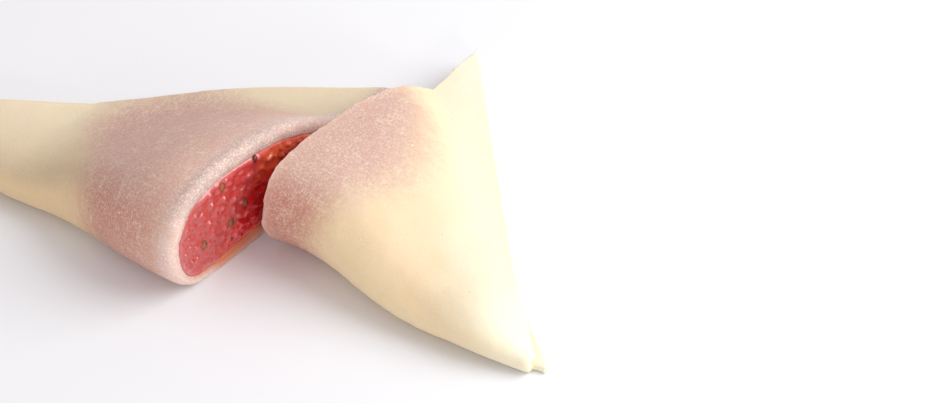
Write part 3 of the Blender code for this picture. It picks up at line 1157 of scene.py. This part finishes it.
@dataclass
class HalfFilling:
    """One half's jam: a lumpy wet cut face and a plain body that runs in under the dough.

    Sizes are in millimetres. The face's ridges, lumps and beads have a height, a width and a length up.
    """

    shape: HalfShape
    seeds: tuple[SeedPlace, ...]
    # Painted shade: a point on the slanting line behind which the cut is coloured as shaded.
    shade_edge_at: tuple[float, float] = (8.0, 5.0)
    gap: float = 0.03
    line_points: int = 420
    fineness: int = 12
    side_points: int = 190
    rungs: int = 76
    body_rings: int = 18
    ring_spread: float = 1.1
    last_ring: float = 0.995
    ridges: tuple[float, float, float] = (0.30, 3.4, 1.5)
    lumps: tuple[float, float, float] = (0.22, 1.5, 1.05)
    beads: tuple[float, float, float] = (0.34, 0.95, 0.70)
    proud: float = 0.06
    rim_depth: float = 0.28
    seed: int = 11

    def outline(self, x: float) -> tuple[Array, Array]:
        """The filling's lower and upper outline at x.

        Args:
            x: Distance from the cut.

        Returns:
            Both from the nose to the tail, with equally many points; they share the nose.
        """
        line = filling_line(self.shape, x, self.line_points, self.gap, self.fineness)
        nose = int(np.argmin(line[:, 0]))
        share = np.linspace(0.0, 1.0, self.side_points)
        lower, upper = (respace(part, share * along_line(part)[-1])
                        for part in (line[:nose + 1][::-1], line[nose:]))
        return lower, upper

    def face_height(self, face: Array, rim: Array) -> Array:
        """How far the wet face stands out at its points, in millimetres.

        Args:
            face: y and z of the points.
            rim: Their distance from the outline.

        Returns:
            One height for each point, less than nothing next to the dough.
        """
        spots = np.column_stack([face, np.full(len(face), 3.7 * self.seed)])
        ridges, lumps, beads = (soft_noise(spots, (*size[1:], 1.0), self.seed + more)
                                for more, size in enumerate((self.ridges, self.lumps, self.beads)))
        beads = smooth_step((beads - 0.04) / 0.42)
        height = self.ridges[0] * ridges + self.lumps[0] * lumps + self.beads[0] * beads + self.proud
        for place in self.seeds:
            away = np.hypot(face[:, 0] - place.y, face[:, 1] - place.z)
            bed = smooth_step(1.0 - away / (1.5 * place.size))
            height = height * (1.0 - bed) + self.proud * bed
            height += 0.10 * bell(away, 0.95 * place.size, 0.28)
        return height * smooth_step(rim / 0.9) - self.rim_depth * np.exp(-rim / 0.22)

    def skin(self) -> Skin:
        """Make the half's closed filling.

        Returns:
            Its points, faces and kept numbers.
        """
        lower, upper = self.outline(0.0)
        across = np.linspace(0.0, 1.0, self.rungs + 1)[None, :, None]
        rows = lower[1:, None, :] * (1.0 - across) + upper[1:, None, :] * across
        face = np.vstack([lower[:1], rows.reshape(-1, 2)])
        edge = np.vstack([lower[::-1], upper[1:], rows[-1]])
        rim = np.concatenate([
            np.sqrt(((chunk[:, None, :] - edge[None, :, :]) ** 2).sum(axis=2).min(axis=1))
            for chunk in np.array_split(face, 24)])
        height = self.face_height(face, rim)
        face_points = self.shape.place(np.column_stack([-height, face]))

        count, width = self.side_points - 1, self.rungs + 1
        faces = [(0, 1 + i, 2 + i) for i in range(self.rungs)]
        faces += [(a + 1, d + 1, c + 1, b + 1) for a, b, c, d in grid_faces(count, width)]

        nose_to_tail = [1 + row * width for row in range(count)]
        tail = [1 + (count - 1) * width + i for i in range(1, width)]
        tail_to_nose = [1 + row * width + self.rungs for row in range(count - 2, -1, -1)]
        loop = [0] + nose_to_tail + tail + tail_to_nose
        points = [face_points]
        # Painted shade: the deep crimson's share rises across a slanting line through shade_edge_at, where
        # the other half shades the cut.
        shade_shares = [smooth_step(0.35 + (face[:, 0] - self.shade_edge_at[0] - (face[:, 1] - self.shade_edge_at[1])) / 9.0)]
        roofs = [np.concatenate([[0.5], np.tile(across.ravel(), count)])]
        rims = [1.0 - smooth_step(rim / 1.6)]
        start, previous = len(face), loop
        shares = np.linspace(0.0, 1.0, self.body_rings + 1)[1:] ** self.ring_spread
        for x in self.shape.filling_length * np.minimum(shares, self.last_ring):
            low, high = self.outline(x)
            closing = low[-1:] * (1.0 - across[0, 1:]) + high[-1:] * across[0, 1:]
            ring = np.vstack([low, closing, high[1:-1][::-1]])
            points.append(self.shape.place(np.column_stack([np.full(len(ring), x), ring])))
            shade_shares.append(np.full(len(ring), 0.5))
            roofs.append(np.full(len(ring), 0.5))
            rims.append(np.ones(len(ring)))
            current = list(range(start, start + len(ring)))
            for i, here in enumerate(previous):
                j = (i + 1) % len(previous)
                faces.append((current[i], current[j], previous[j], here))
            start, previous = start + len(ring), current
        faces.append(tuple(reversed(previous)))
        numbers = {"painted_shade": shade_shares, "towards_roof": roofs, "towards_rim": rims}
        return Skin(np.vstack(points) + CENTRING, faces,
                    {name: np.concatenate(parts) for name, parts in numbers.items()})

    def build(self, material: Material) -> None:
        """Make the piece.

        Args:
            material: The jam's finish.
        """
        name = f"{self.shape.name}_strawberry_jam"
        mesh = self.skin().mesh(name, flipped=self.shape.side is Side.RIGHT)
        new_piece(name, mesh, material, "jam_filling", f"{self.shape.name}_filling")

    def seed_spots(self) -> list[tuple[Array, tuple[float, float, float], float]]:
        """Places of the seeds on the cut.

        Returns:
            For each seed its place in millimetres, its turn in radians and its size.
        """
        spots = []
        for place in self.seeds:
            point = self.shape.place(np.array([[0.02, place.y, place.z]]))[0] + CENTRING
            out = -self.shape.side.value * math.pi / 2.0
            turn = (math.radians(place.heading), out, math.radians(self.shape.turn))
            spots.append((point, turn, place.size))
        return spots


# --------------------------------------------------------------------------------------------------
# Small things laid out by Geometry Nodes
# --------------------------------------------------------------------------------------------------

class Layout(NodeMaker):
    """A Geometry Nodes tree that lays out small things, with named inputs."""

    def __init__(self, name: str, **inputs: str) -> None:
        """Start a tree that takes a geometry and gives one.

        Args:
            name: The tree's name.
            **inputs: Names of its other inputs, and of what kind they are.
        """
        super().__init__(bpy.data.node_groups.new(name, "GeometryNodeTree"))
        self.keys: dict[str, str] = {}
        sockets = self.tree.interface
        sockets.new_socket("Geometry", in_out="OUTPUT", socket_type="NodeSocketGeometry")
        for label, kind in {"Geometry": "Geometry", **inputs}.items():
            made = sockets.new_socket(label, in_out="INPUT", socket_type=f"NodeSocket{kind}")
            self.keys[label] = made.identifier
        self.start = self.node("NodeGroupInput").outputs

    def kept(self, name: str, kind: str) -> Socket:
        """Numbers kept at the points, FLOAT or FLOAT_VECTOR."""
        made = self.node("GeometryNodeInputNamedAttribute", {"Name": name}, data_type=kind)
        return made.outputs["Attribute"]

    def scaled(self, vector: Socket, by: Socket) -> Socket:
        """A vector made longer or shorter."""
        made = self.node("ShaderNodeVectorMath", {0: vector, "Scale": by}, operation="SCALE")
        return made.outputs["Vector"]

    def joined(self, **parts: object) -> Socket:
        """A vector of X, Y and Z."""
        return self.node("ShaderNodeCombineXYZ", parts).outputs["Vector"]

    def moved(self, geometry: Socket, **way: object) -> Socket:
        """A geometry whose points get a Position or an Offset."""
        return self.node("GeometryNodeSetPosition", {"Geometry": geometry, **way}).outputs["Geometry"]

    def finish(self, **inputs: Socket) -> None:
        """Put a copy of the Instance on all Points, as plain dressed meshes, and give them out.

        Args:
            **inputs: Points, Instance, Rotation and Scale.
        """
        laid = self.node("GeometryNodeInstanceOnPoints", inputs).outputs["Instances"]
        real = self.node("GeometryNodeRealizeInstances", {"Geometry": laid}).outputs["Geometry"]
        smooth = self.node("GeometryNodeSetShadeSmooth", {"Geometry": real}).outputs["Geometry"]
        dressed = self.node("GeometryNodeSetMaterial", {
            "Geometry": smooth, "Material": self.start["Finish"]}).outputs["Geometry"]
        self.node("NodeGroupOutput", {"Geometry": dressed})

    def run(self, name: str, mesh: Mesh, **values: object) -> Mesh:
        """Run the tree on a mesh.

        Args:
            name: Name of the mesh that comes out.
            mesh: The mesh that goes in; it isn't kept.
            **values: The named inputs' values.

        Returns:
            A plain mesh.
        """
        bearer = bpy.data.objects.new(f"{name}_bearer", mesh)
        bpy.context.scene.collection.objects.link(bearer)
        modifier = bearer.modifiers.new("Layout", "NODES")
        modifier.node_group = self.tree
        for label, value in values.items():
            modifier[self.keys[label]] = value
        depsgraph = bpy.context.evaluated_depsgraph_get()
        depsgraph.update()
        made = bpy.data.meshes.new_from_object(bearer.evaluated_get(depsgraph), depsgraph=depsgraph)
        made.name = name
        bearer.modifiers.remove(modifier)
        bpy.data.objects.remove(bearer, do_unlink=True)
        bpy.data.meshes.remove(mesh)
        return made


@dataclass
class DoughBits:
    """One kind of small flat bit in the dough's outside: its numbers and sizes in millimetres."""

    name: str
    per_square_centimetre: float
    length: tuple[float, float]
    width: tuple[float, float]
    thickness: float
    proud: float
    closest: float
    seed: int
    bend: float
    finish: GrainFinish

    def layout(self) -> Layout:
        """Tree that scatters flat bits over the dough.

        Returns:
            The tree, with the sizes as its inputs.
        """
        sizes = ("Density", "Closest", "Proud", "Thickness", "Shortest", "Longest", "Narrowest",
                 "Widest", "Bend")
        tree = Layout(f"{self.name} layout", **dict.fromkeys(sizes, "Float"), Seed="Int",
                      Finish="Material")
        start = tree.start
        scatter = tree.node("GeometryNodeDistributePointsOnFaces", {
            "Mesh": start["Geometry"], "Distance Min": start["Closest"],
            "Density Max": start["Density"], "Density Factor": tree.kept("speck_share", "FLOAT"),
            "Seed": start["Seed"]}, distribute_method="POISSON").outputs
        spin = tree.node("FunctionNodeRandomValue", {
            "Min": (0.0, 0.0, 0.0), "Max": (0.0, 0.0, 2.0 * math.pi), "Seed": start["Seed"],
        }, data_type="FLOAT_VECTOR")
        spun = tree.node("FunctionNodeRotateRotation", {
            "Rotation": scatter["Rotation"], "Rotate By": spin.outputs["Value"],
        }, rotation_space="LOCAL")
        long, wide = (tree.node("FunctionNodeRandomValue", {
            2: start[low], 3: start[high], "ID": tree.node("GeometryNodeInputID").outputs[0],
            "Seed": seed}, data_type="FLOAT").outputs[1]
            for low, high, seed in (("Shortest", "Longest", 5), ("Narrowest", "Widest", 6)))
        ball = tree.node("GeometryNodeMeshIcoSphere", {"Radius": 0.5, "Subdivisions": 2})
        along = tree.node("ShaderNodeSeparateXYZ", {
            0: tree.node("GeometryNodeInputPosition").outputs[0]}).outputs["X"]
        bow = tree.joined(Y=tree.times(tree.times(along, along), start["Bend"]))
        tree.finish(
            Points=tree.moved(scatter["Points"], Offset=tree.scaled(scatter["Normal"], start["Proud"])),
            Instance=tree.moved(ball.outputs["Mesh"], Offset=bow),
            Rotation=spun.outputs["Rotation"],
            Scale=tree.joined(X=long, Y=wide, Z=start["Thickness"]))
        return tree

    def build(self, outsides: list[Skin]) -> None:
        """Make the piece.

        Args:
            outsides: The dough surfaces that bear the bits.
        """
        first = 0
        faces: Faces = []
        for skin in outsides:
            faces += [tuple(first + n for n in face) for face in skin.faces]
            first += len(skin.points)
        bearer = Skin(np.vstack([skin.points for skin in outsides]), faces,
                      {"speck_share": np.concatenate([s.numbers["speck_share"] for s in outsides])})
        material = self.finish.build(self.name.replace("_", " "))
        mesh = self.layout().run(
            self.name, bearer.mesh(f"{self.name}_bearer"),
            Density=self.per_square_centimetre * 1.0e4,
            Closest=self.closest * MM,
            Proud=(self.proud - 0.5 * self.thickness) * MM,
            Thickness=self.thickness * MM,
            Shortest=self.length[0] * MM,
            Longest=self.length[1] * MM,
            Narrowest=self.width[0] * MM,
            Widest=self.width[1] * MM,
            Bend=self.bend,
            Seed=self.seed,
            Finish=material)
        new_piece(self.name, mesh, material, "rice_dough")


@dataclass
class StrawberrySeeds:
    """The seeds in both cuts, each a small drop half sunk in the jam. Sizes in millimetres."""

    name: str = "strawberry_seeds"
    length: float = 2.0
    width: float = 1.45
    thickness: float = 0.95
    taper: float = 0.50
    finish: SeedFinish = SeedFinish()

    def layout(self) -> Layout:
        """Tree that puts a drop at each place.

        Returns:
            The tree, with the sizes as its inputs.
        """
        tree = Layout(f"{self.name} layout", Size="Vector", Taper="Float", Finish="Material")
        start = tree.start
        ball = tree.node("GeometryNodeMeshUVSphere", {"Segments": 20, "Rings": 14, "Radius": 0.5})
        place = tree.node("GeometryNodeInputPosition").outputs[0]
        parts = tree.node("ShaderNodeSeparateXYZ", {0: place}).outputs
        thin = tree.maths("MULTIPLY_ADD", parts["X"], start["Taper"], 1.0)
        drop = tree.node("ShaderNodeVectorMath", {
            0: place, 1: tree.joined(X=1.0, Y=thin, Z=thin)}, operation="MULTIPLY").outputs["Vector"]
        marked = tree.node("GeometryNodeStoreNamedAttribute", {
            "Geometry": tree.moved(ball.outputs["Mesh"], Position=drop), "Name": "seed_height",
            "Value": tree.maths("ADD", parts["Z"], 0.5)}, data_type="FLOAT", domain="POINT")
        turned = tree.node("FunctionNodeEulerToRotation", {
            "Euler": tree.kept("heading", "FLOAT_VECTOR")})
        tree.finish(
            Points=start["Geometry"],
            Instance=marked.outputs["Geometry"],
            Rotation=turned.outputs["Rotation"],
            Scale=tree.scaled(start["Size"], tree.kept("seed_size", "FLOAT")))
        return tree

    def build(self, fillings: list[HalfFilling]) -> None:
        """Make the piece.

        Args:
            fillings: The jam that holds the seeds.
        """
        spots = [spot for filling in fillings for spot in filling.seed_spots()]
        places = Skin(np.array([spot[0] for spot in spots]), [], {
            "heading": np.array([spot[1] for spot in spots]),
            "seed_size": np.array([spot[2] for spot in spots]),
        })
        material = self.finish.build("strawberry seed")
        mesh = self.layout().run(
            self.name, places.mesh(f"{self.name}_bearer"),
            Size=(self.length * MM, self.width * MM, self.thickness * MM),
            Taper=-self.taper,
            Finish=material)
        new_piece(self.name, mesh, material, "jam_filling")


# --------------------------------------------------------------------------------------------------
# Table, light and camera
# --------------------------------------------------------------------------------------------------

def hang(name: str, data: bpy.types.ID, azimuth: float, elevation: float, distance: float,
         aim: tuple[float, float, float] = (0.0, 0.0, 0.0)) -> bpy.types.Object:
    """Hang a light or the camera so that it looks at the food.

    Args:
        name: The object's name.
        data: The light or the camera.
        azimuth: Degrees round the food from its front to the right.
        elevation: Degrees above the table.
        distance: Metres from the aim.
        aim: What it looks at.

    Returns:
        The object.
    """
    around, above = math.radians(azimuth), math.radians(elevation)
    towards = Vector((math.sin(around) * math.cos(above), -math.cos(around) * math.cos(above),
                      math.sin(above)))
    holder = bpy.data.objects.new(name, data)
    holder.location = Vector(aim) + towards * distance
    holder.rotation_euler = towards.to_track_quat("Z", "Y").to_euler()
    bpy.context.scene.collection.objects.link(holder)
    return holder


@dataclass(frozen=True)
class Softbox:
    """A round soft light: where it hangs, seen from the food, and how wide and strong it is."""

    name: str
    azimuth: float
    elevation: float
    distance: float
    width: float
    watts: float
    colour: tuple[float, float, float] = (1.0, 1.0, 1.0)

    def build(self) -> None:
        """Hang the light."""
        lamp = bpy.data.lights.new(self.name, "AREA")
        lamp.shape = "DISK"
        lamp.size = self.width
        lamp.energy = self.watts
        lamp.color = self.colour
        hang(self.name, lamp, self.azimuth, self.elevation, self.distance)


@dataclass(frozen=True)
class Studio:
    """A plain pale table, soft light and the camera."""

    table_half: float = 3.0
    table_colour: Colour = (0.85, 0.86, 0.88, 1.0)
    table_mottle: float = 0.985
    sky: Colour = (1.0, 0.94, 0.95, 1.0)
    sky_strength: float = 0.67
    aim: tuple[float, float, float] = (0.02332, 0.00981, 0.0)
    azimuth: float = 35.98
    elevation: float = 44.0
    distance: float = 0.5756
    lens: float = 145.06
    lights: tuple[Softbox, ...] = (
        Softbox("window", azimuth=122.0, elevation=41.0, distance=0.45, width=0.42, watts=1.70,
                colour=(0.97, 1.0, 1.01)),
        Softbox("glint", azimuth=58.0, elevation=24.0, distance=0.45, width=0.07, watts=0.20),
    )

    def table(self) -> None:
        """Lay the plain table under the food."""
        corners = [(self.table_half * x, self.table_half * y, 0.0)
                   for x, y in ((-1, -1), (1, -1), (1, 1), (-1, 1))]
        mesh = bpy.data.meshes.new("table")
        mesh.from_pydata(corners, [], [(0, 1, 2, 3)])
        make = Shading("white table")
        shade = tuple(self.table_mottle * part for part in self.table_colour[:3]) + (1.0,)
        colour = make.mix(make.mottle(make.millimetres(), 60.0), self.table_colour, shade)
        mesh.materials.append(make.dress(base_color=colour, roughness=0.6, specular_ior_level=0.3))
        table = bpy.data.objects.new("table", mesh)
        bpy.context.scene.collection.objects.link(table)

    def build(self) -> None:
        """Make the table, the light and the camera."""
        self.table()
        for light in self.lights:
            light.build()
        scene = bpy.context.scene
        scene.world = bpy.data.worlds.new("room")
        scene.world.use_nodes = True
        background = scene.world.node_tree.nodes["Background"]
        background.inputs["Color"].default_value = self.sky
        background.inputs["Strength"].default_value = self.sky_strength
        scene.view_settings.view_transform = "Standard"
        view = bpy.data.cameras.new("camera")
        view.lens = self.lens
        view.sensor_width = 36.0
        view.clip_start, view.clip_end = 0.01, 20.0
        scene.camera = hang("camera", view, self.azimuth, self.elevation, self.distance, self.aim)


# --------------------------------------------------------------------------------------------------
# The whole
# --------------------------------------------------------------------------------------------------

LEFT_SEEDS = (
    SeedPlace(7.7, 15.4, 20.0, 0.85), SeedPlace(12.3, 8.9, 100.0, 0.85), SeedPlace(8.8, 7.6, 75.0, 1.0),
    SeedPlace(2.9, 7.4, 50.0, 0.95), SeedPlace(15.4, 15.2, 150.0, 0.75), SeedPlace(8.9, 4.2, 110.0, 0.5),
)
RIGHT_SEEDS = (
    SeedPlace(4.6, 10.6, 60.0), SeedPlace(10.4, 6.4, 130.0, 1.1), SeedPlace(15.2, 10.2, 15.0, 0.9),
    SeedPlace(19.6, 5.8, 80.0), SeedPlace(8.2, 11.8, 150.0, 0.8), SeedPlace(24.0, 8.4, 35.0, 0.9),
)
LEFT_GLOW = JamGlow(reach=30.2, centre=25.5, back=28.5, roundness=1.7, wall_reach=16.4,
                    wall=(11.0, 23.0), blur=8.0)
RIGHT_GLOW = JamGlow(reach=12.2, centre=26.0, back=19.5, roundness=1.6, wall_reach=8.2,
                     wall=(9.0, 25.0), blur=7.2)
# Painted light and shade: one dough in two copies, the left half's darker and the right half's paler, with
# a paler cut and pink, for light that falls off from the right.
LEFT_SHADED_FINISH = RiceDoughFinish(
    cream=(0.615, 0.49, 0.33, 1.0), cream_deep=(0.575, 0.45, 0.285, 1.0),
    cream_wall_glow=(0.89, 0.67, 0.385, 1.0), cream_edge_highlight=(0.74, 0.63, 0.445, 1.0))
RIGHT_LIT_FINISH = RiceDoughFinish(
    cream=(0.75, 0.59, 0.39, 1.0), cream_deep=(0.715, 0.55, 0.34, 1.0),
    cream_wall_glow=(0.93, 0.755, 0.465, 1.0), jam_mauve=(0.57, 0.35, 0.295, 1.0),
    cut_top=(0.90, 0.76, 0.66, 1.0), cut_side=(0.92, 0.78, 0.66, 1.0))
BITS = (
    DoughBits("fine_rice_flecks", per_square_centimetre=95.0, length=(0.18, 0.60), width=(0.08, 0.15),
              thickness=0.10, proud=0.010, closest=0.25, seed=3, bend=1.6,
              finish=GrainFinish((0.76, 0.59, 0.47, 1.0), (0.60, 0.42, 0.335, 1.0))),
    DoughBits("rice_grains", per_square_centimetre=1.1, length=(0.50, 1.00), width=(0.30, 0.55),
              thickness=0.30, proud=0.030, closest=2.0, seed=8, bend=0.3,
              finish=GrainFinish((0.93, 0.87, 0.74, 1.0), (0.89, 0.80, 0.64, 1.0))),
    DoughBits("brown_specks", per_square_centimetre=0.8, length=(0.20, 0.34), width=(0.12, 0.20),
              thickness=0.14, proud=0.02, closest=3.0, seed=5, bend=0.0,
              finish=GrainFinish((0.30, 0.12, 0.035, 1.0), (0.10, 0.045, 0.025, 1.0))),
)


def main() -> None:
    """Build the food, the table, the light and the camera."""
    logging.basicConfig(level=logging.INFO, format="%(message)s")
    doughs = (
        HalfDough(LEFT, CutEdge.PULLED_ROUND, LEFT_GLOW, LEFT_SHADED_FINISH, seed=1),
        HalfDough(RIGHT, CutEdge.CRISP, RIGHT_GLOW, RIGHT_LIT_FINISH, seed=6),
    )
    outsides = [dough.outside(dough.build()) for dough in doughs]
    jam = StrawberryJamFinish().build("strawberry jam")
    fillings = [HalfFilling(LEFT, LEFT_SEEDS, seed=11), HalfFilling(RIGHT, RIGHT_SEEDS, seed=21)]
    for filling in fillings:
        filling.build(jam)
    StrawberrySeeds().build(fillings)
    for bits in BITS:
        bits.build(outsides)
    Studio().build()


if __name__ == "__main__":
    main()
